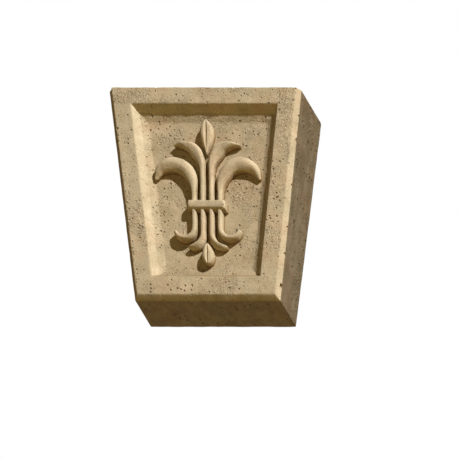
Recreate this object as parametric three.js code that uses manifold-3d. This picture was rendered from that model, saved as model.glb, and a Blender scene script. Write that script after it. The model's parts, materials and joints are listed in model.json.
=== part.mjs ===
// Arch keystone of cast stone: a wedge block with a sunk panel and a carved fleur-de-lis.
// Millimetres. +X is the viewer's right, -Y is the front, +Z is up.
// The origin is at the middle of the flat back, where the block beds against the wall.
import * as THREE from 'three';
import Module from 'manifold-3d';

// Block
const HEIGHT = 356;
const TOP_WIDTH = 336;
const BOTTOM_WIDTH = 254;
const TOP_DEPTH = 71;
const BOTTOM_DEPTH = 57;
const CHAMFER_WIDTH = 7.2;
const CHAMFER_DEPTH = 5.6;

// Sunk panel, framed by a steep outer splay and a shallow inner one
const SIDE_MARGIN = 36.5;
const TOP_MARGIN = 27;
const BOTTOM_MARGIN = 37;
const OUTER_SPLAY = { width: 10, depth: 9.6 };
const INNER_SPLAY = { width: 11.7, depth: 4.6 };
const PANEL_DEPTH = OUTER_SPLAY.depth + INNER_SPLAY.depth;

// Ornament: heights of relief are above the panel, and all of it is sunk a little into the panel
const ROOT_DEPTH = 4;
const OUTER_STEM_X = 22.5;
const INNER_STEM_X = 7.6;
const BAND = { top: -8.4, bottom: -25, halfLength: 33.5, rise: 13, squareness: 4 };
const BAND_END = { round: 5, narrowing: 0.14, lowering: 0.4 };
const BUD = {
  top: 129, bottom: 71.5, widestAt: 0.36, halfWidth: 12.4, rise: 12, tipRise: 7,
  topPower: 0.7, footPower: 1.15,
};
const BULB = {
  top: -79.5, bottom: -115, widestAt: 0.56, halfWidth: 11, rise: 11.5, tipRise: 8,
  topPower: 0.8, footPower: 0.5,
};
const BUD_SQUARENESS = 3;
const GROOVE = { depth: 2.2, share: 0.26 };

// Each strand leaves the middle of the band as a straight stem. Its path is a list of stretches,
// each a run in millimetres and a turn in degrees. Its sizes are set at distances along the path:
// the half-width towards the curl's centre, the half-width away from it, the height of relief, the
// squareness of the section, and the share of the height by which the inner side falls before its
// edge.
const STEM = [4.5, 4.5, 10.5, 3, 0];
const OUTER_LEAF = {
  path: [[24.7, 0], [41.9, 50], [22.3, 40], [18.3, 25], [9.2, 33], [13.5, 10]],
  sizes: [
    [14.4, ...STEM],
    [28, 6, 5, 11, 3, 0.05],
    [46, 8.5, 11, 12, 2.3, 0.15],
    [62, 9.5, 15, 12.5, 2.1, 0.3],
    [80, 10, 16.5, 12.5, 2.1, 0.36],
    [96, 9.5, 15.5, 12.5, 2.1, 0.36],
    [108, 8.5, 11.5, 11.2, 2.2, 0.4],
    [118, 7, 7.5, 9, 2.3, 0.36],
    [130, 3.5, 3, 5.5, 2.6, 0.2],
  ],
};
const OUTER_SCROLL = {
  path: [[38.3, 0], [26, 90], [23.6, 75], [1.5, 3]],
  sizes: [
    [34, ...STEM],
    [56, 6.5, 4.6, 11, 2.6, 0],
    [74, 6, 4.2, 11, 2.6, 0],
    [89.4, 4, 3.4, 9, 2.6, 0],
  ],
};
const INNER_LEAF = {
  path: [[62.1, 0], [17.3, 18], [13, 14], [18.5, 44], [11, 4], [17, 22]],
  sizes: [
    [50, ...STEM],
    [68, 6.5, 5, 11, 3, 0.1],
    [80, 10, 6, 11.8, 2.6, 0.25],
    [92, 12.5, 8, 12.2, 2.3, 0.3],
    [103, 11.5, 9, 12.2, 2.2, 0.28],
    [113, 8.5, 7.5, 12, 2.3, 0.15],
    [124, 5.5, 4.5, 11.5, 2.4, 0],
    [138.9, 3.2, 2.6, 7.5, 2.6, 0],
  ],
};
const INNER_SCROLL = {
  path: [[45.8, 0], [23, 68], [11.4, 10], [3.6, 4]],
  sizes: [
    [42, ...STEM],
    [57, 5, 7.4, 10.8, 2.2, 0],
    [69, 4, 8.8, 10, 1.9, 0],
    [78, 3.6, 7, 8.5, 1.9, 0],
    [83.8, 2.6, 3.4, 6.5, 2.2, 0],
  ],
};

// Fineness of the carving
const STATION_STEP = 5.5;
const SECTION_STEPS = 10;
const BUD_STEPS = 12;
const TIP_ROUND = 2.4;
const TIP_STEP = 1.2;

const BAND_MIDDLE = (BAND.top + BAND.bottom) / 2;
const { cos, sin, sqrt, abs, PI } = Math;
const radians = (degrees) => (degrees * PI) / 180;
const mix = (a, b, t) => a + (b - a) * t;

// Half the block's width, and its full depth, at a height
const halfWidthAt = (z) => mix(BOTTOM_WIDTH, TOP_WIDTH, z / HEIGHT + 0.5) / 2;
const depthAt = (z) => mix(BOTTOM_DEPTH, TOP_DEPTH, z / HEIGHT + 0.5);

// A point at a height of relief above the panel, which leans forward with the front
const onPanel = (x, z, rise) => [x, PANEL_DEPTH - depthAt(z) - rise, z];

// The four corners of the block's outline drawn in by three margins, sunk behind the front
function outline(side, top, bottom, sunk) {
  const high = HEIGHT / 2 - top;
  const low = bottom - HEIGHT / 2;
  const corner = (sign, z) => [sign * (halfWidthAt(z) - side), sunk - depthAt(z), z];
  return [corner(-1, low), corner(1, low), corner(1, high), corner(-1, high)];
}

// A closed body through rings of equal size, capped at both ends. Each ring turns
// anticlockwise as seen from the last ring towards the first.
function loft(rings, mirrored = false) {
  const count = rings[0].length;
  const flip = mirrored ? -1 : 1;
  const points = rings.flat().flatMap(([x, y, z]) => [x * flip, y, z]);
  const faces = [];
  for (let ring = 0; ring + 1 < rings.length; ring++) {
    for (let i = 0; i < count; i++) {
      const a = ring * count + i;
      const b = ring * count + ((i + 1) % count);
      faces.push([a, b, b + count], [a, b + count, a + count]);
    }
  }
  const last = (rings.length - 1) * count;
  for (const [start, ring, ends] of [[0, rings[0], -1], [last, rings.at(-1), 1]]) {
    for (const [a, b, c] of capFaces(ring)) {
      faces.push(ends > 0 ? [start + a, start + b, start + c] : [start + a, start + c, start + b]);
    }
  }
  if (mirrored) faces.forEach((face) => face.reverse());
  const geometry = new THREE.BufferGeometry();
  geometry.setAttribute('position', new THREE.Float32BufferAttribute(points, 3));
  geometry.setIndex(faces.flat());
  return geometry;
}

// Triangles of a flat ring, worked out in the plane that shows it largest
function capFaces(ring) {
  const corners = ring.map((p) => new THREE.Vector3(...p));
  const normal = new THREE.Vector3();
  corners.forEach((p, i) => normal.add(p.clone().cross(corners[(i + 1) % corners.length])));
  normal.normalize();
  const across = corners[1].clone().sub(corners[0]).normalize();
  const up = normal.clone().cross(across);
  const flat = corners.map((p) => new THREE.Vector2(p.dot(across), p.dot(up)));
  return THREE.ShapeUtils.triangulateShape(flat, []);
}

// Back, sides, chamfers, front border, the two splays and the panel, as one stack of outlines
function blockBody() {
  const edge = (extra) => [SIDE_MARGIN + extra, TOP_MARGIN + extra, BOTTOM_MARGIN + extra];
  const back = outline(0, 0, 0, 0).map(([x, , z]) => [x, 0, z]);
  const splays = OUTER_SPLAY.width + INNER_SPLAY.width;
  return loft([
    back,
    outline(0, 0, 0, CHAMFER_DEPTH),
    outline(CHAMFER_WIDTH, 0, CHAMFER_WIDTH, 0),
    outline(...edge(0), 0),
    outline(...edge(OUTER_SPLAY.width), OUTER_SPLAY.depth),
    outline(...edge(splays), PANEL_DEPTH),
  ]);
}

// Sizes at a distance along a strand: a smooth cubic between keys, whose slope at a key is that
// of the line between the keys before and after it, and nought at both ends
function glide(distance, keys) {
  const slope = (k, n) => (k <= 0 || k >= keys.length - 1 ? 0
    : (keys[k + 1][n] - keys[k - 1][n]) / (keys[k + 1][0] - keys[k - 1][0]));
  const after = keys.findIndex((key) => key[0] > distance);
  const i = after < 0 ? keys.length - 2 : Math.max(0, after - 1);
  const gap = keys[i + 1][0] - keys[i][0];
  const t = Math.min(1, Math.max(0, (distance - keys[i][0]) / gap));
  return [1, 2, 3, 4, 5].map((n) => keys[i][n] * (2 * t ** 3 - 3 * t ** 2 + 1)
    + slope(i, n) * gap * (t ** 3 - 2 * t ** 2 + t)
    + keys[i + 1][n] * (3 * t ** 2 - 2 * t ** 3)
    + slope(i + 1, n) * gap * (t ** 3 - t ** 2));
}

// Stations of a curl from the band outwards. Up is 1 for a leaf and -1 for a scroll.
// A station has its place, the direction towards the curl's centre, and its section's sizes.
function curl(stemX, up, { path, sizes }) {
  const total = path.reduce((sum, [length]) => sum + length, 0);
  const towards = (angle) => new THREE.Vector2(cos(angle), sin(angle));
  const station = (place, heading, distance) => {
    const [inner, outer, rise, squareness, fall] = glide(distance, sizes);
    const closing = sqrt(1 - Math.min(0.9, Math.max(0, 1 - (total - distance) / TIP_ROUND)) ** 2);
    return {
      place, inward: towards(heading - (up * PI) / 2), squareness, fall,
      inner: inner * closing, outer: outer * closing, rise: rise * mix(0.8, 1, closing),
    };
  };
  let place = new THREE.Vector2(stemX, BAND_MIDDLE);
  let heading = (up * PI) / 2;
  let distance = 0;
  const stations = [station(place, heading, distance)];
  for (const [length, turn] of path) {
    const steps = turn ? Math.ceil(length / STATION_STEP) : 3;
    const step = (up * radians(turn)) / steps;
    for (let i = 1; i <= steps; i++) {
      place = place.clone().addScaledVector(towards(heading - step / 2), length / steps);
      heading -= step;
      distance += length / steps;
      stations.push(station(place, heading, distance));
    }
  }
  const beforeTip = place.clone().addScaledVector(towards(heading), -TIP_STEP);
  stations.splice(-1, 0, station(beforeTip, heading, distance - TIP_STEP));
  return stations;
}

// Upper half of a superellipse from -1 to 1, as pairs of a share across and a share of the height
function superellipse(steps, squareness) {
  return Array.from({ length: steps + 1 }, (_, i) => {
    const angle = PI * (1 - i / steps);
    const power = 2 / squareness(cos(angle));
    return [Math.sign(cos(angle)) * abs(cos(angle)) ** power, Math.max(0, sin(angle)) ** power];
  });
}

// A strand's section: a superellipse with a half-width for each side of the crest. The inner side
// is squarer by how much it falls, and falls in proportion to the distance from the crest. The
// section is closed below the panel.
function strandRing({ place, inward, inner, outer, rise, squareness, fall }) {
  const at = (across, height) =>
    onPanel(place.x + inward.x * across, place.y + inward.y * across, height);
  const dome = superellipse(SECTION_STEPS, (side) => squareness + (side > 0.01 ? 12 * fall : 0));
  const over = dome.map(([share, height]) =>
    at(share * (share < 0 ? outer : inner), rise * height * (1 - fall * Math.max(0, share))));
  return [at(-outer, -ROOT_DEPTH), ...over, at(inner, -ROOT_DEPTH)];
}

// One strand from the tip of its scroll, through the band, to the tip of its leaf
function strandBody(stemX, scroll, leaf, mirrored) {
  const lower = curl(stemX, -1, scroll).reverse();
  const upper = curl(stemX, 1, leaf).slice(1);
  return loft([...lower, ...upper].map(strandRing), mirrored);
}

// A bud with a groove down its middle: two rounded lobes between pointed ends
function budBody({ top, bottom, widestAt, halfWidth, rise, tipRise, topPower, footPower }) {
  const dome = superellipse(2 * SECTION_STEPS, () => BUD_SQUARENESS).reverse();
  const rings = [];
  for (let i = 0; i <= BUD_STEPS; i++) {
    const t = 0.5 - 0.5 * cos((PI * i) / BUD_STEPS);
    const bulge = t < widestAt ? t / widestAt : (1 - t) / (1 - widestAt);
    const full = sin((Math.max(0, bulge) * PI) / 2) ** (t < widestAt ? topPower : footPower);
    const half = mix(0.8, halfWidth, full);
    const crest = mix(tipRise, rise, sqrt(full));
    const z = mix(top, bottom, t);
    const groove = (share) => GROOVE.depth * full * Math.max(0, 1 - abs(share) / GROOVE.share);
    const over = dome.map(([share, height]) => onPanel(half * share, z, crest * height - groove(share)));
    rings.push([onPanel(half, z, -ROOT_DEPTH), ...over, onPanel(-half, z, -ROOT_DEPTH)]);
  }
  return loft(rings);
}

// The band that ties the four stems: a bar of rounded square section whose ends draw in
function bandBody() {
  const { halfLength, rise, squareness } = BAND;
  const half = (BAND.top - BAND.bottom) / 2;
  const dome = superellipse(SECTION_STEPS, () => squareness).reverse();
  const ends = [0, 30, 60, 90].map((degrees) => ({
    x: halfLength - BAND_END.round * (1 - sin(radians(degrees))),
    draw: 1 - cos(radians(degrees)),
  }));
  const stations = [...ends.map(({ x, draw }) => ({ x: -x, draw })).reverse(), ...ends];
  const rings = stations.map(({ x, draw }) => {
    const drawn = half * (1 - BAND_END.narrowing * draw);
    const crest = rise * (1 - BAND_END.lowering * draw);
    const over = dome.map(([share, height]) => onPanel(x, BAND_MIDDLE + drawn * share, crest * height));
    const foot = (share) => onPanel(x, BAND_MIDDLE + drawn * share, -ROOT_DEPTH);
    return [foot(1), ...over, foot(-1)];
  });
  return loft(rings);
}

const wasm = await Module();
wasm.setup();

function toSolid(geometry) {
  const vertProperties = new Float32Array(geometry.getAttribute('position').array);
  const triVerts = new Uint32Array(geometry.index.array);
  return new wasm.Manifold(new wasm.Mesh({ numProp: 3, vertProperties, triVerts }));
}

function toGeometry(solid) {
  const mesh = solid.getMesh();
  const geometry = new THREE.BufferGeometry();
  geometry.setAttribute('position', new THREE.BufferAttribute(mesh.vertProperties, 3));
  geometry.setIndex(new THREE.BufferAttribute(mesh.triVerts, 1));
  geometry.computeVertexNormals();
  return geometry;
}

// Block and ornament are one casting
const carving = [budBody(BUD), budBody(BULB), bandBody()];
for (const mirrored of [false, true]) {
  carving.push(strandBody(OUTER_STEM_X, OUTER_SCROLL, OUTER_LEAF, mirrored));
  carving.push(strandBody(INNER_STEM_X, INNER_SCROLL, INNER_LEAF, mirrored));
}
const casting = carving.reduce((solid, piece) => solid.add(toSolid(piece)), toSolid(blockBody()));

const castStone = new THREE.MeshStandardMaterial({ color: '#b7a17d', roughness: 0.9, metalness: 0 });
const keystone = new THREE.Mesh(toGeometry(casting), castStone);
keystone.name = 'keystone';

const model = new THREE.Group();
model.add(keystone);

export default model;
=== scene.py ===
import json
import math

import bpy
import numpy as np
from mathutils import Matrix, Vector

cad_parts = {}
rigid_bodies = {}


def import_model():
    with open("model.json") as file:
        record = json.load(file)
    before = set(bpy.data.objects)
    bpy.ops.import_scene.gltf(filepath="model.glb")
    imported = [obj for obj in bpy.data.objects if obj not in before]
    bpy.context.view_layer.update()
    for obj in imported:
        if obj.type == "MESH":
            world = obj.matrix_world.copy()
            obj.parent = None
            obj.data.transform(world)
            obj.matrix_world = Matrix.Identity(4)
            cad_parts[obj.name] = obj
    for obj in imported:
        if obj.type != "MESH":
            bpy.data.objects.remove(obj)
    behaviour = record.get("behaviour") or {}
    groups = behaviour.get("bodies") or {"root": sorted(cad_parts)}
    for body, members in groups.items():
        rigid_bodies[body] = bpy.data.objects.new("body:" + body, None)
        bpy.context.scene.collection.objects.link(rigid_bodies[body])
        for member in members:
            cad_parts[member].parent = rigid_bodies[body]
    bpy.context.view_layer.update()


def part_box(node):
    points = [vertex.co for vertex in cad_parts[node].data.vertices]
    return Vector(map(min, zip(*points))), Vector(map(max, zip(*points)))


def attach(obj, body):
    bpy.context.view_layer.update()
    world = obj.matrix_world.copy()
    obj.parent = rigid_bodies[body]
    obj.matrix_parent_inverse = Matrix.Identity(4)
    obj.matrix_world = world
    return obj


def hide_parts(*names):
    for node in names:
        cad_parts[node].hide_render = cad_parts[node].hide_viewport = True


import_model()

MM = 0.001
low, high = (np.array(corner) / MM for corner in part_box("keystone"))

# Block, from the frame's box and the photograph's proportions
FOOT_WIDTH_SHARE = 0.756
FOOT_DEPTH_SHARE = 0.803
TOP_WIDTH, TOP_DEPTH, HEIGHT = high - low
BOTTOM_WIDTH = TOP_WIDTH * FOOT_WIDTH_SHARE
BOTTOM_DEPTH = TOP_DEPTH * FOOT_DEPTH_SHARE
CHAMFER = {"width": 7.2, "depth": 5.6}

# Sunk panel
SIDE_MARGIN = 36.5
TOP_MARGIN = 27
BOTTOM_MARGIN = 37
OUTER_SPLAY = {"width": 10, "depth": 9.6}
INNER_SPLAY = {"width": 11.7, "depth": 4.6}
PANEL_DEPTH = OUTER_SPLAY["depth"] + INNER_SPLAY["depth"]

# Ornament: heights of relief are above the panel, and all of it is sunk a little into the panel
ROOT_DEPTH = 4
OUTER_STEM_X = 22.5
INNER_STEM_X = 7.6
BAND = {"top": -8.4, "bottom": -25, "half_length": 33.5, "rise": 13, "end_round": 5}
BUD = {"top": 129, "bottom": 71.5, "widest_at": 0.36, "half_width": 12.4, "rise": 12, "tip_rise": 7,
       "top_power": 0.7, "foot_power": 1.15}
BULB = {"top": -79.5, "bottom": -115, "widest_at": 0.56, "half_width": 11, "rise": 11.5, "tip_rise": 8,
        "top_power": 0.8, "foot_power": 0.5}
GROOVE = {"depth": 2.2, "share": 0.26}

# Each strand leaves the middle of the band as a straight stem. Its path is a list of stretches, each
# a run in millimetres and a turn in degrees. Its sizes are set at distances along the path: the
# half-width towards the curl's centre, the half-width away from it, the height of relief, the
# squareness of the section, and the share of the height by which the inner side falls before its edge.
STEM = (4.5, 4.5, 10.5, 3, 0)
OUTER_LEAF = {
    "path": [(24.7, 0), (41.9, 50), (22.3, 40), (18.3, 25), (9.2, 33), (13.5, 10)],
    "sizes": [
        (14.4, *STEM),
        (28, 6, 5, 11, 3, 0.05),
        (46, 8.5, 11, 12, 2.3, 0.15),
        (62, 9.5, 15, 12.5, 2.1, 0.3),
        (80, 10, 16.5, 12.5, 2.1, 0.36),
        (96, 9.5, 15.5, 12.5, 2.1, 0.36),
        (108, 8.5, 11.5, 11.2, 2.2, 0.4),
        (118, 7, 7.5, 9, 2.3, 0.36),
        (130, 3.5, 3, 5.5, 2.6, 0.2),
    ],
}
OUTER_SCROLL = {
    "path": [(38.3, 0), (26, 90), (23.6, 75), (1.5, 3)],
    "sizes": [
        (34, *STEM),
        (56, 6.5, 4.6, 11, 2.6, 0),
        (74, 6, 4.2, 11, 2.6, 0),
        (89.4, 4, 3.4, 9, 2.6, 0),
    ],
}
INNER_LEAF = {
    "path": [(62.1, 0), (17.3, 18), (13, 14), (18.5, 44), (11, 4), (17, 22)],
    "sizes": [
        (50, *STEM),
        (68, 6.5, 5, 11, 3, 0.1),
        (80, 10, 6, 11.8, 2.6, 0.25),
        (92, 12.5, 8, 12.2, 2.3, 0.3),
        (103, 11.5, 9, 12.2, 2.2, 0.28),
        (113, 8.5, 7.5, 12, 2.3, 0.15),
        (124, 5.5, 4.5, 11.5, 2.4, 0),
        (138.9, 3.2, 2.6, 7.5, 2.6, 0),
    ],
}
INNER_SCROLL = {
    "path": [(45.8, 0), (23, 68), (11.4, 10), (3.6, 4)],
    "sizes": [
        (42, *STEM),
        (57, 5, 7.4, 10.8, 2.2, 0),
        (69, 4, 8.8, 10, 1.9, 0),
        (78, 3.6, 7, 8.5, 1.9, 0),
        (83.8, 2.6, 3.4, 6.5, 2.2, 0),
    ],
}

BAND_MIDDLE = (BAND["top"] + BAND["bottom"]) / 2


def mix(a, b, t):
    """From a to b in a straight line, as t goes from nought to one."""
    return a + (b - a) * t


def half_width_at(z):
    """Half the block's width: straight from the foot's half-width to the top's."""
    return mix(BOTTOM_WIDTH, TOP_WIDTH, z / HEIGHT + 0.5) / 2


def depth_at(z):
    """The block's full depth: straight from the foot's depth to the top's, as the front leans forward."""
    return mix(BOTTOM_DEPTH, TOP_DEPTH, z / HEIGHT + 0.5)


def on_panel(x, z, rise):
    """Points at a height of relief above the panel: the block's front at z, set back by the panel's
    depth and brought forward by the relief."""
    return np.stack(np.broadcast_arrays(x, PANEL_DEPTH - depth_at(z) - rise, z), axis=-1)


def lofted(name, rings):
    """A closed mesh through rings of equal size: a grid of four-sided faces round and along, with a flat
    cap at each end. Rings turn anticlockwise as seen from the last ring towards the first."""
    count, size = rings.shape[:2]
    index = np.arange(count * size).reshape(count, size)
    beside = np.roll(index, -1, axis=1)
    quads = np.stack([index[:-1], beside[:-1], beside[1:], index[1:]], axis=-1).reshape(-1, 4)
    faces = quads.tolist() + [index[0, ::-1].tolist(), index[-1].tolist()]
    mesh = bpy.data.meshes.new(name)
    mesh.from_pydata((rings.reshape(-1, 3) * MM).tolist(), [], faces)
    mesh.validate()
    piece = bpy.data.objects.new(name, mesh)
    bpy.context.collection.objects.link(piece)
    return piece


# Block

CORNER_ROUND = 2.0
ARRIS_ROUND = 1.6
# A rounding has this many points, and takes at most this share of a stretch beside it
ROUND_POINTS = 5
ROUND_AT_MOST = 0.45
POINTS_A_SIDE = 110
RING_STEP = 3.4
# Margins at the side, top and bottom of the small flat caps that close the back and the panel
BACK_CAP = (120, 170, 170)
PANEL_CAP = (125, 180, 150)


def softened(profile, reach):
    """A profile with its inner corners rounded: each corner gives way to a parabola that leaves one
    neighbour's line and meets the other's at the reach, and the straight parts between are cut into
    equal steps."""
    t = np.linspace(0, 1, ROUND_POINTS)[:, None]
    out = [profile[:1]]
    start = profile[0]
    for before, corner, after in zip(profile, profile[1:], profile[2:]):
        near = corner + (before - corner) * min(reach / along(before, corner), ROUND_AT_MOST)
        far = corner + (after - corner) * min(reach / along(corner, after), ROUND_AT_MOST)
        out.append(cut(start, near))
        out.append((near * (1 - t) ** 2 + 2 * corner * t * (1 - t) + far * t**2)[1:])
        start = far
    out.append(cut(start, profile[-1]))
    return np.concatenate(out)


def along(a, b):
    """Length of a stretch of the profile, as it runs at the block's side."""
    middle_depth = (TOP_DEPTH + BOTTOM_DEPTH) / 2
    return math.hypot(a[0] - b[0], (a[3] - b[3]) * middle_depth - (a[4] - b[4]))


def cut(a, b):
    """The stretch from a to b in equal steps of about the ring step, without a itself."""
    steps = max(1, round(along(a, b) / RING_STEP))
    return mix(a, b, np.linspace(0, 1, steps + 1)[1:, None])


def outline(side, top, bottom, forward, sunk):
    """Closed outline of the block drawn in by three margins, at a share of the way from the back to the
    front and sunk behind it. Its four sides are straight and its corners are parabolas."""
    high_z = HEIGHT / 2 - top
    low_z = bottom - HEIGHT / 2
    corners = np.array([
        [sign * (half_width_at(z) - side), sunk - forward * depth_at(z), z]
        for sign, z in ((-1, low_z), (1, low_z), (1, high_z), (-1, high_z))
    ])
    following = np.roll(corners, -1, axis=0)
    length = np.linalg.norm(following - corners, axis=1)[:, None]
    start = mix(corners, following, CORNER_ROUND / length)
    end = mix(corners, following, 1 - CORNER_ROUND / length)
    t = np.linspace(0, 1, POINTS_A_SIDE)[None, :, None]
    sides = mix(start[:, None], end[:, None], t)
    t = np.linspace(0, 1, ROUND_POINTS)[None, 1:-1, None]
    turns = end[:, None] * (1 - t) ** 2 + 2 * following[:, None] * t * (1 - t)
    turns = turns + np.roll(start, -1, axis=0)[:, None] * t**2
    return np.concatenate([sides, turns], axis=1).reshape(-1, 3)


def block():
    """The block as one profile carried round its four sides: from the middle of the back over the sides,
    chamfers, border and the two splays to the middle of the panel."""
    edge = np.array([SIDE_MARGIN, TOP_MARGIN, BOTTOM_MARGIN])
    splays = OUTER_SPLAY["width"] + INNER_SPLAY["width"]
    profile = np.array([
        [*BACK_CAP, 0, 0],
        [0, 0, 0, 0, 0],
        [0, 0, 0, 1, CHAMFER["depth"]],
        [CHAMFER["width"], 0, CHAMFER["width"], 1, 0],
        [*edge, 1, 0],
        [*(edge + OUTER_SPLAY["width"]), 1, OUTER_SPLAY["depth"]],
        [*(edge + splays), 1, PANEL_DEPTH],
        [*PANEL_CAP, 1, PANEL_DEPTH],
    ])
    rings = [outline(*row) for row in softened(profile, ARRIS_ROUND)]
    return lofted("block", np.array(rings))


# Ornament

STATION_STEP = 1.4
SECTION_POINTS = 25
INNER_HALF = np.arange(SECTION_POINTS) > SECTION_POINTS // 2
# A strand's tip draws in on a circle of this reach, is cut off at a share of the way along it, and keeps
# at least a share of its height
TIP_ROUND = 2.4
TIP_CUT_OFF = 0.9
TIP_HEIGHT_KEPT = 0.8
# How much squarer a strand's inner side is for its fall
FALL_SQUARENESS = 12
BUD_SQUARENESS = 3
BUD_RINGS = 41
BUD_TIP_HALF_WIDTH = 0.8
BAND_SQUARENESS = 4
BAND_RINGS = 25
BAND_END_RINGS = 8
BAND_END_DRAW = {"width": 0.14, "rise": 0.4}


def glide(distance, keys):
    """Sizes at distances along a strand: a smooth cubic between keys, whose slope at a key is that of the
    line between the keys before and after it, and nought at both ends."""
    at, values = keys[:, 0], keys[:, 1:]
    slope = np.zeros_like(values)
    slope[1:-1] = (values[2:] - values[:-2]) / (at[2:] - at[:-2])[:, None]
    i = np.clip(np.searchsorted(at, distance, side="right") - 1, 0, len(at) - 2)
    gap = (at[i + 1] - at[i])[:, None]
    t = np.clip((distance - at[i])[:, None] / gap, 0, 1)
    start = values[i] * (2 * t**3 - 3 * t**2 + 1) + slope[i] * gap * (t**3 - 2 * t**2 + t)
    return start + values[i + 1] * (3 * t**2 - 2 * t**3) + slope[i + 1] * gap * (t**3 - t**2)


def curl(stem_x, up, shape):
    """Stations of a strand from the middle of the band outwards. The heading is the running sum of the
    turns, and the place is the running sum of the steps, each along the heading half way through it. The
    section draws in on a circle at the tip."""
    run, turn = [], []
    for length, degrees in shape["path"]:
        steps = round(length / STATION_STEP)
        run += [length / steps] * steps
        turn += [math.radians(degrees) / steps * up] * steps
    run, turn = np.array(run), np.array(turn)
    heading = up * math.pi / 2 - np.cumsum(turn)
    middle = heading + turn / 2
    x = stem_x + np.concatenate([[0], np.cumsum(run * np.cos(middle))])
    z = BAND_MIDDLE + np.concatenate([[0], np.cumsum(run * np.sin(middle))])
    inward = np.concatenate([[up * math.pi / 2], heading]) - up * math.pi / 2
    distance = np.concatenate([[0], np.cumsum(run)])
    sizes = glide(distance, np.array(shape["sizes"], float))
    along_tip = np.clip(1 - (distance[-1] - distance) / TIP_ROUND, 0, TIP_CUT_OFF)
    closing = np.sqrt(1 - along_tip**2)
    sizes[:, :2] *= closing[:, None]
    sizes[:, 2] *= mix(TIP_HEIGHT_KEPT, 1, closing)
    return x, z, np.cos(inward), np.sin(inward), sizes


def superellipse(squareness):
    """Upper half of a superellipse from -1 to 1: the cosine and the sine, each to the power two over the
    squareness."""
    angle = np.linspace(math.pi, 0, SECTION_POINTS)
    across = np.sign(np.cos(angle)) * np.abs(np.cos(angle)) ** (2 / squareness)
    return across, np.clip(np.sin(angle), 0, 1) ** (2 / squareness)


def strand(name, stem_x, scroll, leaf, side):
    """One strand from the tip of its scroll, through the band, to the tip of its leaf. Its section is a
    superellipse over the panel, with a half-width for each side of the crest. Its inner side is squarer
    by how much it falls, and falls in proportion to the distance from the crest. It is closed below the
    panel."""
    lower = [values[::-1] for values in curl(stem_x, -1, scroll)]
    upper = [values[1:] for values in curl(stem_x, 1, leaf)]
    x, z, in_x, in_z, sizes = (np.concatenate(pair)[:, None] for pair in zip(lower, upper))
    inner, outer, rise, squareness, fall = np.moveaxis(sizes, -1, 0)
    share, dome = superellipse(squareness + FALL_SQUARENESS * fall * INNER_HALF)
    across = np.where(share < 0, outer, inner) * share
    over = rise * dome * (1 - fall * np.clip(share, 0, 1))
    across = np.concatenate([across[:, :1], across, across[:, -1:]], axis=1)
    under = np.full_like(rise, -ROOT_DEPTH)
    over = np.concatenate([under, over, under], axis=1)
    rings = on_panel(x + in_x * across, z + in_z * across, over)
    if side < 0:
        rings = rings[::-1] * np.array([-1, 1, 1])
    return lofted(name, rings)


def bud(name, shape):
    """A bud with a groove down its middle: rings from its top to its foot, each a superellipse with a
    V-shaped groove taken off. The half-width is a power of the sine of the share of the way to the widest
    place."""
    t = (0.5 - 0.5 * np.cos(np.linspace(0, math.pi, BUD_RINGS)))[:, None]
    widest = shape["widest_at"]
    bulge = np.where(t < widest, t / widest, (1 - t) / (1 - widest))
    full = np.sin(bulge * math.pi / 2) ** np.where(t < widest, shape["top_power"], shape["foot_power"])
    half = mix(BUD_TIP_HALF_WIDTH, shape["half_width"], full)
    crest = mix(shape["tip_rise"], shape["rise"], np.sqrt(full))
    z = mix(shape["top"], shape["bottom"], t)
    share, dome = superellipse(BUD_SQUARENESS)
    groove = GROOVE["depth"] * full * np.clip(1 - np.abs(share) / GROOVE["share"], 0, 1)
    rise = crest * dome - groove
    under = np.full_like(half, -ROOT_DEPTH)
    rise = np.concatenate([under, rise, under], axis=1)[:, ::-1]
    share = np.concatenate([[-1], share, [1]])[::-1]
    return lofted(name, on_panel(half * share, z, rise))


def band():
    """The band that ties the stems: a bar with a rounded square section whose ends draw in on a circle."""
    half = (BAND["top"] - BAND["bottom"]) / 2
    end = BAND["end_round"]
    turn = np.linspace(0, math.pi / 2, BAND_END_RINGS)
    ends = BAND["half_length"] - end * (1 - np.sin(turn))
    middle = np.linspace(-ends[0], ends[0], BAND_RINGS)[1:-1]
    x = np.concatenate([-ends[::-1], middle, ends])[:, None]
    draw = 1 - np.cos(turn)
    draw = np.concatenate([draw[::-1], np.zeros(len(middle)), draw])[:, None]
    drawn = 1 - BAND_END_DRAW["width"] * draw
    upright, dome = superellipse(BAND_SQUARENESS)
    upright = np.concatenate([[-1], upright, [1]])[::-1]
    rise = np.concatenate([[0], dome, [0]]) * BAND["rise"] * (1 - BAND_END_DRAW["rise"] * draw)
    rise[:, [0, -1]] = -ROOT_DEPTH
    return lofted("band", on_panel(x, BAND_MIDDLE + half * upright * drawn, rise))


def boolean(body, tool, operation):
    """Joins or cuts with a second closed mesh, and takes the result as the body's own mesh."""
    modifier = body.modifiers.new("cut", "BOOLEAN")
    modifier.operation = operation
    modifier.solver = "MANIFOLD"
    modifier.object = tool
    depsgraph = bpy.context.evaluated_depsgraph_get()
    mesh = bpy.data.meshes.new_from_object(body.evaluated_get(depsgraph))
    body.modifiers.clear()
    old = body.data
    body.data = mesh
    bpy.data.meshes.remove(old)
    bpy.data.objects.remove(tool)


def crisp(piece, angle):
    """Smooth shading that breaks where two faces meet at more than the angle."""
    mesh = piece.data
    mesh.shade_smooth()
    mesh.set_sharp_from_angle(angle=math.radians(angle))


# Hand-cast surface: the faces wander a little, and pits and chips are cut out

SEED = 11
WANDER = 0.35
WANDER_WAVES = 14
WAVE_LENGTHS = (16, 60)
# A pit is a lump of this many sides at four latitudes. Its vertices are drawn in or out between two shares,
# and it is stretched across, through and up between the least and the most.
PIT_LATITUDES = np.radians([-62, -22, 22, 62])
PIT_SIDES = 7
PIT_UNEVEN = (0.75, 1.2)
PIT_LEAST_STRETCH = (0.7, 0.7, 0.7)
PIT_MOST_STRETCH = (1.5, 1, 1.3)
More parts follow.
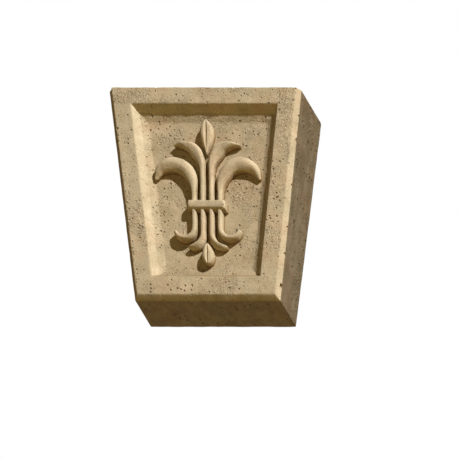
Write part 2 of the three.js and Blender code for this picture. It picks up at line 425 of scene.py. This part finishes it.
# Reach of the smallest pit, and how much further the largest reaches
PIT_REACH = 0.75
PIT_REACH_RANGE = 1.15
# How far a pit's middle stands proud, as a share of its reach, and how far apart two hollows are kept, as
# a multiple of their two reaches added up
PIT_PROUD = 0.1
PIT_APART = 1.7
# The carving and the splays lie between these heights above the panel, and this share of the pits that
# would land there is left out
CARVED = (3, 13.5)
CARVED_KEPT_CLEAR = 0.8
IN_FRONT = -200
SHARP_ANGLE = 38

# Clusters of pits on the front: middle across and up, spread across and up, and how many
CLUSTERS = [
    (-112, 125, 6, 14, 34), (-90, 150, 14, 4, 18), (-109, 70, 5, 18, 30), (-68, 112, 22, 12, 46),
    (-84, 84, 8, 16, 24), (50, 4, 9, 13, 34), (-76, -5, 12, 20, 34), (128, 0, 7, 36, 26),
    (114, -60, 6, 24, 16), (140, 130, 8, 20, 22), (-130, 40, 7, 30, 30), (-118, -60, 7, 34, 26),
    (-10, -154, 60, 7, 7), (60, -96, 24, 10, 18), (-20, -124, 34, 6, 8), (0, 163, 100, 7, 40),
    (0, 10, 26, 60, 20), (30, 90, 34, 16, 20), (0, 0, 90, 90, 70),
]
# Chips: where they are across and up as shares of the half-width and half the height, how far behind the
# front, and how far they reach. The arris between a chamfer and a side lies behind the front.
ARRIS = CHAMFER["depth"]
CHIPS = [
    (1, 0.52, ARRIS, 3.8), (1, -0.86, ARRIS, 4.8), (1, 0.1, ARRIS, 2.6), (1, 0.75, ARRIS, 2.2),
    (1, -0.3, ARRIS, 2.4), (1, -0.55, ARRIS, 3), (0.953, 0.28, 0, 2.2), (0.949, -0.72, 0, 2.4),
    (0.954, 0.62, 0, 1.8), (0.95, -0.05, 0, 2), (0.95, -0.4, 0, 1.8), (0.956, 0.88, 0, 2),
    (-1, 1, 1, 8), (-1, 0.3, ARRIS, 2.4), (-1, -0.55, ARRIS, 2.6), (-0.95, 0.6, 0, 1.8),
    (-0.95, -0.2, 0, 1.8), (0.3, 1, 0, 2), (-0.5, 1, 0, 2.4), (-0.15, 1, 0, 1.6),
    (-0.6, -1, ARRIS, 2.8), (0.35, -1, ARRIS, 2.4), (0.9, -0.965, 0, 2.2), (-0.2, -0.965, 0, 1.8),
]


def wander(piece, random):
    """Moves each vertex in along its normal, by a sum of sines in space squeezed between nought and the
    whole wander."""
    mesh = piece.data
    places, normals = (np.empty(len(mesh.vertices) * 3, np.float32) for _ in range(2))
    mesh.vertices.foreach_get("co", places)
    mesh.vertices.foreach_get("normal", normals)
    places, normals = places.reshape(-1, 3), normals.reshape(-1, 3)
    heading = random.normal(size=(WANDER_WAVES, 3))
    heading /= np.linalg.norm(heading, axis=1)[:, None]
    wave_length = random.uniform(*WAVE_LENGTHS, WANDER_WAVES) * MM
    phase = random.uniform(0, 2 * math.pi, WANDER_WAVES)
    height = np.sin(places @ (heading / wave_length[:, None] * 2 * math.pi).T + phase).sum(axis=1)
    inward = WANDER * MM * (0.5 + 0.5 * np.tanh(height / math.sqrt(WANDER_WAVES)))
    mesh.vertices.foreach_set("co", (places - normals * inward[:, None]).ravel())
    mesh.update()


def on_surface(piece, x, z):
    """Where a line towards the back at x and z first meets the piece."""
    found, place, normal, _ = piece.ray_cast(Vector((x, IN_FRONT, z)) * MM, Vector((0, 1, 0)))
    return found, np.array(place) / MM, np.array(normal)


def hollows(name, middles, reach, random):
    """Closed lumps to cut with: rings of latitude on a ball, each vertex drawn in or out by chance, and the
    whole lump stretched by chance across, through and up."""
    latitude = PIT_LATITUDES[:, None]
    turn = np.linspace(0, 2 * math.pi, PIT_SIDES, endpoint=False)[None, :]
    ball = np.stack([np.cos(latitude) * np.cos(turn), np.cos(latitude) * np.sin(turn),
                     np.sin(latitude) + 0 * turn], axis=-1).reshape(-1, 3)
    count, size = len(middles), len(ball)
    uneven = random.uniform(*PIT_UNEVEN, (count, size, 1))
    stretch = random.uniform(PIT_LEAST_STRETCH, PIT_MOST_STRETCH, (count, 1, 3))
    lumps = ball * uneven * stretch
    points = (np.array(middles)[:, None] + lumps * np.array(reach)[:, None, None]) * MM
    index = np.arange(size).reshape(-1, PIT_SIDES)
    beside = np.roll(index, -1, axis=1)
    quads = np.stack([index[:-1], beside[:-1], beside[1:], index[1:]], axis=-1).reshape(-1, 4)
    offset = (np.arange(count) * size)[:, None, None]
    faces = (quads + offset).reshape(-1, 4).tolist()
    faces += (index[0, ::-1] + offset).reshape(-1, PIT_SIDES).tolist()
    faces += (index[-1] + offset).reshape(-1, PIT_SIDES).tolist()
    mesh = bpy.data.meshes.new(name)
    mesh.from_pydata(points.reshape(-1, 3).tolist(), [], faces)
    piece = bpy.data.objects.new(name, mesh)
    bpy.context.collection.objects.link(piece)
    return piece


def cut_pits(piece, random):
    """Cuts out the chips, and pits in clusters, the smallest the most common. A pit is left out where it
    would come too near another hollow, and mostly where it would land on the carving or the splays."""
    middles, reaches = [], []
    for across, up, back, reach in CHIPS:
        z = up * HEIGHT / 2
        middles.append(np.array([across * half_width_at(z), back - depth_at(z), z]))
        reaches.append(reach)
    wanted = []
    for x, z, wide, tall, count in CLUSTERS:
        spread = random.normal(size=(count, 2)) * (wide, tall)
        size = PIT_REACH + PIT_REACH_RANGE * random.random(count) ** 2
        wanted += [(x + dx, z + dz, reach) for (dx, dz), reach in zip(spread, size)]
    for x, z, reach in wanted:
        found, place, normal = on_surface(piece, x, z)
        above = PANEL_DEPTH - depth_at(z) - place[1] if found else 0
        carved = CARVED[0] < above < CARVED[1]
        if not found or (carved and random.random() < CARVED_KEPT_CLEAR):
            continue
        middle = place + normal * reach * PIT_PROUD
        apart = (np.linalg.norm(middle - other) > PIT_APART * (reach + size)
                 for other, size in zip(middles, reaches))
        if all(apart):
            middles.append(middle)
            reaches.append(reach)
    boolean(piece, hollows("pits", middles, reaches, random), "DIFFERENCE")


def mark_recess(piece):
    """A value on each vertex: one where it lies towards the front and within the border's inner edge,
    else nought."""
    places = np.empty(len(piece.data.vertices) * 3, np.float32)
    piece.data.vertices.foreach_get("co", places)
    x, y, z = places.reshape(-1, 3).T / MM
    inside = (half_width_at(z) - np.abs(x) > SIDE_MARGIN) & (y < -TOP_DEPTH / 3)
    inside &= (z > BOTTOM_MARGIN - HEIGHT / 2) & (z < HEIGHT / 2 - TOP_MARGIN)
    recess = piece.data.attributes.new("recess", "FLOAT", "POINT")
    recess.data.foreach_set("value", inside.astype(np.float32))


def keystone():
    """The casting: the block with the ornament joined to it, its faces a little uneven, and pits and
    chips cut out of it."""
    casting = block()
    casting.name = "cast_stone_keystone"
    carving = [bud("bud", BUD), bud("bulb", BULB), band()]
    for side in (-1, 1):
        carving.append(strand("outer_strand", OUTER_STEM_X, OUTER_SCROLL, OUTER_LEAF, side))
        carving.append(strand("inner_strand", INNER_STEM_X, INNER_SCROLL, INNER_LEAF, side))
    for part in carving:
        boolean(casting, part, "UNION")
    random = np.random.default_rng(SEED)
    wander(casting, random)
    cut_pits(casting, random)
    mark_recess(casting)
    crisp(casting, SHARP_ANGLE)
    return casting


def linear(hex_colour):
    """An sRGB hex colour as linear red, green, blue and full opacity."""
    parts = [int(hex_colour[i:i + 2], 16) / 255 for i in (1, 3, 5)]
    return (*(c / 12.92 if c <= 0.04045 else ((c + 0.055) / 1.055) ** 2.4 for c in parts), 1)


def add(nodes, kind, settings, links):
    """Adds a node, sets its properties and sockets by name or number, and links its sockets to outputs."""
    made = nodes.new(kind)
    for name, value in settings.items():
        if isinstance(name, str) and hasattr(made, name):
            setattr(made, name, value)
        else:
            made.inputs[name].default_value = value
    for name, output in links.items():
        nodes.id_data.links.new(output, made.inputs[name])
    return made


def scale_of(size):
    """Scale of a noise on object coordinates in metres, for lumps of a size in millimetres."""
    return 1 / (size * MM)


# Cast stone: sand and cement tamped damp into a mould. To the eye it is a matt, fine-grained buff
# stone, slightly blotched, swept over by the mould's marks, with small voids where the tamping left
# air, darkened with painted shade. Yellow-brown painted shade lies on every face that doesn't look to
# the front, on the ledge at the foot of the panel, in the angle where the carving stands up from it, and
# as a trace all over the panel.
STONE_ROUGHNESS = 0.92
STONE_SPECULAR = 0.25
BUFF = "#b9a886"
SAND = "#d3bf9b"
SHADE = "#8d7753"
# Dark brown of the voids: painted shade inside the small holes
VOID_SHADE = "#57432a"
ROSE = "#bda582"
# Yellow-brown painted shade for the faces turned from the front, the ledge, the carving's foot and the panel
PAINTED_SHADE = "#745422"
# The sand is finer than a picture shows, so its grain is drawn at about 2 mm.
GRAIN_SIZE = 2.2
BLOTCH_SIZE = 22
TINT_SIZE = 48
VOID_SIZE = 6
VOID_PATCH_SIZE = 34
RIDGE_PATCH_SIZE = 40
SWEPT = (12, 8, 4.5)
SWEPT_TURN = (0, math.radians(-40), 0)
# Heights of the swept marks and of the grain, and depth of the voids, in the normals
MARKS_HEIGHT = 5
GRAIN_HEIGHT = 0.4
VOID_DEPTH = 1.4
# The carving and the splays are smoother than the rest, and have fewer voids.
ROUGH_ELSEWHERE = 0.8
ROUGH_ON_CARVING = 0.25
VOIDS_ON_CARVING = 0.15
# Heights above the panel over which a place comes to count as carving, and over which it stops doing so
CARVING_STARTS = (3, 6)
CARVING_ENDS = (13.1, 13.7)
# Painted shade: the size of its streaks, the heights between which it comes in on the ledge, and its
# strengths
STREAK = (9, 9, 70)
LEDGE_TOP = -105
LEDGE_FULL = -115
LEDGE_SHADE = 0.6
STREAK_SHADE = (0.15, 0.45)
ANGLE_SHADE = 0.85
PANEL_SHADE = 0.08
NOISE, RANGE, SPLIT = "ShaderNodeTexNoise", "ShaderNodeMapRange", "ShaderNodeSeparateXYZ"
EASED = "SMOOTHSTEP"


def cast_stone():
    """Buff stone under layers of tint, grain, voids darkened with painted shade, and painted shade, each
    mixed over the ones before it.
    """
    material = bpy.data.materials.new("cast_stone")
    material.use_nodes = True
    nodes = material.node_tree.nodes
    shader = nodes["Principled BSDF"]
    shader.inputs["Roughness"].default_value = STONE_ROUGHNESS
    shader.inputs["Specular IOR Level"].default_value = STONE_SPECULAR
    coordinates = add(nodes, "ShaderNodeTexCoord", {}, {}).outputs
    place = coordinates["Object"]
    turned = add(nodes, SPLIT, {}, {0: coordinates["Normal"]}).outputs
    turned_y, turned_z = turned["Y"], turned["Z"]
    above, carved = panel_heights(nodes, place)
    voids = void_spots(nodes, place, carved)
    grain, blotch, tint = (
        add(nodes, NOISE, {"Scale": scale_of(size), "Detail": detail, "Roughness": roughness},
            {"Vector": place}).outputs[0]
        for size, detail, roughness in ((GRAIN_SIZE, 3, 0.7), (BLOTCH_SIZE, 3, 0.6), (TINT_SIZE, 2, 0.6))
    )
    low_down, streaked_shade, crease_shade, sunk = painted_shade_shares(nodes, place, turned_y)

    # Each layer: its colour, the value it follows, where that starts and ends, and how strong it gets
    layers = [
        (ROSE, tint, 0.42, 0.66, 1),
        (SAND, blotch, 0.46, 0.72, 0.55),
        (SHADE, blotch, 0.48, 0.28, 0.34),
        (SAND, grain, 0.5, 0.72, 0.5),
        (SHADE, grain, 0.47, 0.27, 0.6),
        # painted shade inside the small voids
        (VOID_SHADE, voids, 0, 1, 0.8),
        # painted shade on the up-facing ledge low down, at the foot of the panel
        (PAINTED_SHADE, turned_z, 0.02, 0.68, low_down),
        # painted shade, in streaks, on the faces turned away from the front
        (PAINTED_SHADE, turned_y, -0.5, -0.15, streaked_shade),
        # painted shade on the faces that look down
        (PAINTED_SHADE, turned_z, -0.85, -0.95, 0.3),
        # painted shade in the angle at the foot of the carving, on steep faces inside the recess
        (PAINTED_SHADE, above, 5, 0.4, crease_shade),
        # a trace of painted shade over the sunk panel, fading out 6 mm above its floor
        (PAINTED_SHADE, above, 6, 0.5, sunk),
    ]
    under = None
    for colour, value, start, end, strength in layers:
        reach = {"interpolation_type": EASED, "From Min": start, "From Max": end}
        follow = {"Value": value}
        (reach if isinstance(strength, (int, float)) else follow)["To Max"] = strength
        share = add(nodes, RANGE, reach, follow).outputs[0]
        below = {} if under is None else {6: under}
        under = add(nodes, "ShaderNodeMix", {"data_type": "RGBA", 6: linear(BUFF), 7: linear(colour)},
                    {0: share, **below}).outputs[2]
    nodes.id_data.links.new(under, shader.inputs["Base Color"])
    nodes.id_data.links.new(roughened(nodes, place, carved, grain, voids), shader.inputs["Normal"])
    return material


def panel_heights(nodes, place):
    """Height above the panel in millimetres, and a value that is one at the carving's heights, where the
    splays and a strip of the sides lie too, and nought elsewhere. The height is a sum of shares of the
    place's y and z, because the panel leans forward at a steady slope."""
    lean = (TOP_DEPTH - BOTTOM_DEPTH) / HEIGHT
    rest = PANEL_DEPTH - (TOP_DEPTH + BOTTOM_DEPTH) / 2
    shares = add(nodes, "ShaderNodeVectorMath",
                 {"operation": "DOT_PRODUCT", 1: (0, -1 / MM, -lean / MM)}, {0: place})
    above = add(nodes, "ShaderNodeMath", {"operation": "ADD", 1: rest},
                {0: shares.outputs["Value"]}).outputs[0]
    behind = add(nodes, RANGE,
                 {"interpolation_type": EASED, "From Min": CARVING_ENDS[1], "From Max": CARVING_ENDS[0]},
                 {"Value": above})
    carved = add(nodes, RANGE,
                 {"interpolation_type": EASED, "From Min": CARVING_STARTS[0], "From Max": CARVING_STARTS[1]},
                 {"Value": above, "To Max": behind.outputs[0]})
    return above, carved.outputs[0]


def void_spots(nodes, place, carved):
    """Round spots in some of the cells, in patches, and few on the carving: the small voids, dented in the
    normals and darkened with painted shade.
    """
    clear = add(nodes, RANGE, {"To Min": 1, "To Max": VOIDS_ON_CARVING}, {"Value": carved})
    patch = add(nodes, NOISE, {"Scale": scale_of(VOID_PATCH_SIZE), "Roughness": 0.6}, {"Vector": place})
    patch = add(nodes, RANGE,
                {"interpolation_type": EASED, "From Min": 0.4, "From Max": 0.58, "To Min": 0.1},
                {"Value": patch.outputs[0], "To Max": clear.outputs[0]})
    cells = add(nodes, "ShaderNodeTexVoronoi", {"Scale": scale_of(VOID_SIZE)}, {"Vector": place}).outputs
    lot = add(nodes, "ShaderNodeSeparateColor", {}, {0: cells["Color"]})
    chosen = add(nodes, RANGE, {"interpolation_type": EASED, "From Min": 0.62, "From Max": 0.7},
                 {"Value": lot.outputs[0], "To Max": patch.outputs[0]})
    spots = add(nodes, RANGE, {"interpolation_type": EASED, "From Min": 0.34, "From Max": 0.18},
                {"Value": cells["Distance"], "To Max": chosen.outputs[0]})
    return spots.outputs[0]


def painted_shade_shares(nodes, place, turned_y):
    """How strong the painted shade gets low down, in streaks that run up and down, in the angle at the
    carving's foot, and over the sunk panel."""
    height = add(nodes, SPLIT, {}, {0: place}).outputs["Z"]
    low_down = add(nodes, RANGE,
                   {"interpolation_type": EASED, "From Min": LEDGE_TOP * MM, "From Max": LEDGE_FULL * MM,
                    "To Max": LEDGE_SHADE}, {"Value": height})
    stretched = add(nodes, "ShaderNodeMapping", {"Scale": [scale_of(size) for size in STREAK]},
                    {"Vector": place})
    streak = add(nodes, NOISE, {"Scale": 1, "Detail": 3}, {"Vector": stretched.outputs[0]})
    streaked_shade = add(nodes, RANGE,
                   {"interpolation_type": EASED, "From Min": 0.3, "From Max": 0.7,
                    "To Min": STREAK_SHADE[0], "To Max": STREAK_SHADE[1]}, {"Value": streak.outputs[0]})
    recess = add(nodes, "ShaderNodeAttribute", {"attribute_name": "recess"}, {}).outputs["Fac"]
    sunk = add(nodes, RANGE, {"To Max": PANEL_SHADE}, {"Value": recess})
    full = add(nodes, RANGE, {"To Max": ANGLE_SHADE}, {"Value": recess})
    crease_shade = add(nodes, RANGE, {"interpolation_type": EASED, "From Min": -0.8, "From Max": -0.5},
                  {"Value": turned_y, "To Max": full.outputs[0]})
    return (node.outputs[0] for node in (low_down, streaked_shade, crease_shade, sunk))


def roughened(nodes, place, carved, grain, voids):
    """Normals from three reliefs: marks swept over the surface in patches, the grain, and the voids. The
    marks and the grain are fainter on the carving."""
    rough = add(nodes, RANGE, {"To Min": ROUGH_ELSEWHERE, "To Max": ROUGH_ON_CARVING},
                {"Value": carved}).outputs[0]
    patch = add(nodes, NOISE, {"Scale": scale_of(RIDGE_PATCH_SIZE), "Roughness": 0.6}, {"Vector": place})
    ridges = add(nodes, RANGE,
                 {"interpolation_type": EASED, "From Min": 0.42, "From Max": 0.62, "To Min": 0.2},
                 {"Value": patch.outputs[0], "To Max": rough})
    swept = add(nodes, "ShaderNodeMapping", {"vector_type": "TEXTURE", "Rotation": SWEPT_TURN,
                                             "Scale": [size * MM for size in SWEPT]}, {"Vector": place})
    sweep = add(nodes, NOISE, {"Scale": 1, "Detail": 5, "Roughness": 0.62, "Distortion": 1.3},
                {"Vector": swept.outputs[0]})
    marks = add(nodes, "ShaderNodeBump", {"Distance": MARKS_HEIGHT * MM},
                {"Height": sweep.outputs[0], "Strength": ridges.outputs[0]})
    sand = add(nodes, "ShaderNodeBump", {"Distance": GRAIN_HEIGHT * MM},
               {"Height": grain, "Strength": rough, "Normal": marks.outputs[0]})
    return add(nodes, "ShaderNodeBump", {"Strength": 1, "Distance": VOID_DEPTH * MM, "invert": True},
               {"Height": voids, "Normal": sand.outputs[0]}).outputs[0]


# Camera: the photograph is an oblique parallel picture. The slope is how far across its receding edges
# run for each step down, the share is how far down they run for their depth, and the lean is how far
# across its uprights run for each step up.
PHOTO_WIDTH = 458
PHOTO_HEIGHT = 459
MM_PER_PIXEL = 1.745
TOP_MIDDLE_PIXEL = (203.7, 86.9)
RECEDING_SLOPE = 0.597
DEPTH_SHARE = 0.9
LEAN = 0.0098
CAMERA_DISTANCE = 0.6


def camera():
    """A camera whose picture plane stays upright and almost square to the front while it looks along a
    slant through the block, held in that sheared frame by a parent. It stands where the middle of the
    top front edge falls on its pixel."""
    data = bpy.data.cameras.new("camera")
    data.type = "ORTHO"
    data.ortho_scale = max(PHOTO_WIDTH, PHOTO_HEIGHT) * MM_PER_PIXEL * MM
    data.clip_start = 0.01
    data.clip_end = 20
    look = Vector((-(RECEDING_SLOPE + LEAN) * DEPTH_SHARE, 1, DEPTH_SHARE))
    back = -look.normalized()
    right = Vector((1, 0, 0))
    up = Vector((-LEAN, 0, 1)).normalized()
    top_middle = Vector((0, -TOP_DEPTH, HEIGHT / 2)) * MM
    across = (TOP_MIDDLE_PIXEL[0] - PHOTO_WIDTH / 2) * MM_PER_PIXEL * MM
    above = (PHOTO_HEIGHT / 2 - TOP_MIDDLE_PIXEL[1]) * MM_PER_PIXEL * MM
    place = top_middle - right * across - up * above + back * CAMERA_DISTANCE
    eye = bpy.data.objects.new("camera", data)
    bpy.context.collection.objects.link(eye)
    eye.parent = bpy.data.objects.new("camera_frame", None)
    bpy.context.collection.objects.link(eye.parent)
    eye.matrix_parent_inverse = Matrix.Translation(place) @ Matrix((right, up, back)).transposed().to_4x4()
    bpy.context.scene.camera = eye


# Studio: a key light from the right and above, a warm fill from below for the light that the ground
# returns, and a weak fill from behind for the faces that the photograph doesn't show. A lamp has the
# direction that its light comes from, its energy, how many degrees wide it looks, and its colour.
KEY_DIRECTION = Vector((1.42, -1, 1.16))
LAMPS = {
    "key": (KEY_DIRECTION, 5.5, 2.5, (0.99, 1, 1.04)),
    "low_fill": ((0, -0.55, -0.75), 0.72, 80, (1, 0.76, 0.27)),
    "back_fill": ((-0.5, 1, 0.45), 1.5, 60, (1, 0.95, 0.88)),
}
SURROUNDINGS = {"colour": (1, 0.72, 0.35, 1), "strength": 0.05}
FLOOR = {"level": -0.95, "reach": 6, "colour": "#8f8c87", "roughness": 0.8, "glow": "#efece6",
         "glow_strength": 0.62}
# The net's gap from the block's side, how much light it lets through, and how far it reaches past the
# block's foot, top and back
NET = {"gap": 14, "lets_through": 0.4, "below": 10, "above": 40, "behind": 40}


def lamp(name, direction, energy, angle, colour):
    """A sun lamp whose light comes from a direction."""
    data = bpy.data.lights.new(name, "SUN")
    data.energy = energy
    data.angle = math.radians(angle)
    data.color = colour
    made = bpy.data.objects.new(name, data)
    made.rotation_mode = "QUATERNION"
    made.rotation_quaternion = Vector(direction).to_track_quat("Z", "Y")
    bpy.context.collection.objects.link(made)


def card(name, corners, material):
    """A flat card through four corners in metres, which belongs to the stage and not to the object."""
    mesh = bpy.data.meshes.new(name)
    mesh.from_pydata(corners, [], [(0, 1, 2, 3)])
    made = bpy.data.objects.new(name, mesh)
    bpy.context.collection.objects.link(made)
    mesh.materials.append(material)
    return made


def side_net():
    """A thin net beside the block, which only shadow rays meet, and which takes most of the key light off
    the right side. Its front edge is the arris behind the chamfer moved towards the key light, so that
    its shadow starts at the arris. It also shades the right end of the top face."""
    net = bpy.data.materials.new("studio_net")
    net.use_nodes = True
    nodes = net.node_tree.nodes
    thin = add(nodes, "ShaderNodeBsdfTransparent", {"Color": (*[NET["lets_through"]] * 3, 1)}, {})
    net.node_tree.links.new(thin.outputs[0], nodes["Material Output"].inputs["Surface"])
    corners = []
    low_z, high_z = -HEIGHT / 2 - NET["below"], HEIGHT / 2 + NET["above"]
    run = NET["gap"] / KEY_DIRECTION.x
    for z, at_back in ((low_z, True), (low_z, False), (high_z, False), (high_z, True)):
        front = CHAMFER["depth"] - depth_at(z) + run * KEY_DIRECTION.y
        y = NET["behind"] if at_back else front
        corner = np.array([half_width_at(z) + NET["gap"], y, z + run * KEY_DIRECTION.z])
        corners.append(corner * MM)
    made = card("studio_net", corners, net)
    for ray in ("camera", "diffuse", "glossy", "transmission", "volume_scatter"):
        setattr(made, "visible_" + ray, False)


def pale_floor():
    """A wide pale floor that glows a little, so that a shadow on it stays soft. It is left out of diffuse
    light and casts no shadow, so the fill from below passes through it."""
    pale = bpy.data.materials.new("pale_floor")
    pale.use_nodes = True
    finish = pale.node_tree.nodes["Principled BSDF"].inputs
    finish["Base Color"].default_value = linear(FLOOR["colour"])
    finish["Roughness"].default_value = FLOOR["roughness"]
    finish["Emission Color"].default_value = linear(FLOOR["glow"])
    finish["Emission Strength"].default_value = FLOOR["glow_strength"]
    reach = FLOOR["reach"]
    edges = ((-reach, -reach), (reach, -reach), (reach, reach), (-reach, reach))
    floor = card("floor", [(x, y, FLOOR["level"]) for x, y in edges], pale)
    floor.visible_diffuse = False
    floor.visible_shadow = False


def surroundings():
    """A world that is white to the camera and gives a dim warm fill to everything else."""
    world = bpy.data.worlds.new("studio")
    world.use_nodes = True
    nodes, links = world.node_tree.nodes, world.node_tree.links
    fill = nodes["Background"]
    fill.inputs["Color"].default_value = SURROUNDINGS["colour"]
    fill.inputs["Strength"].default_value = SURROUNDINGS["strength"]
    white = add(nodes, "ShaderNodeBackground", {"Color": (1, 1, 1, 1)}, {})
    path = add(nodes, "ShaderNodeLightPath", {}, {})
    choice = add(nodes, "ShaderNodeMixShader", {},
                 {0: path.outputs["Is Camera Ray"], 1: fill.outputs[0], 2: white.outputs[0]})
    links.new(choice.outputs[0], nodes["World Output"].inputs["Surface"])
    bpy.context.scene.world = world


def studio():
    """The stage: lamps, surroundings, floor and net, with the picture's tones left as they are."""
    for name, settings in LAMPS.items():
        lamp(name, *settings)
    surroundings()
    bpy.context.scene.view_settings.view_transform = "Standard"
    pale_floor()
    side_net()


camera()
studio()
piece = keystone()
piece.data.materials.clear()
piece.data.materials.append(cast_stone())
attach(piece, "root")
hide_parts("keystone")
print("TRIANGLES", sum(len(p.vertices) - 2 for p in piece.data.polygons))
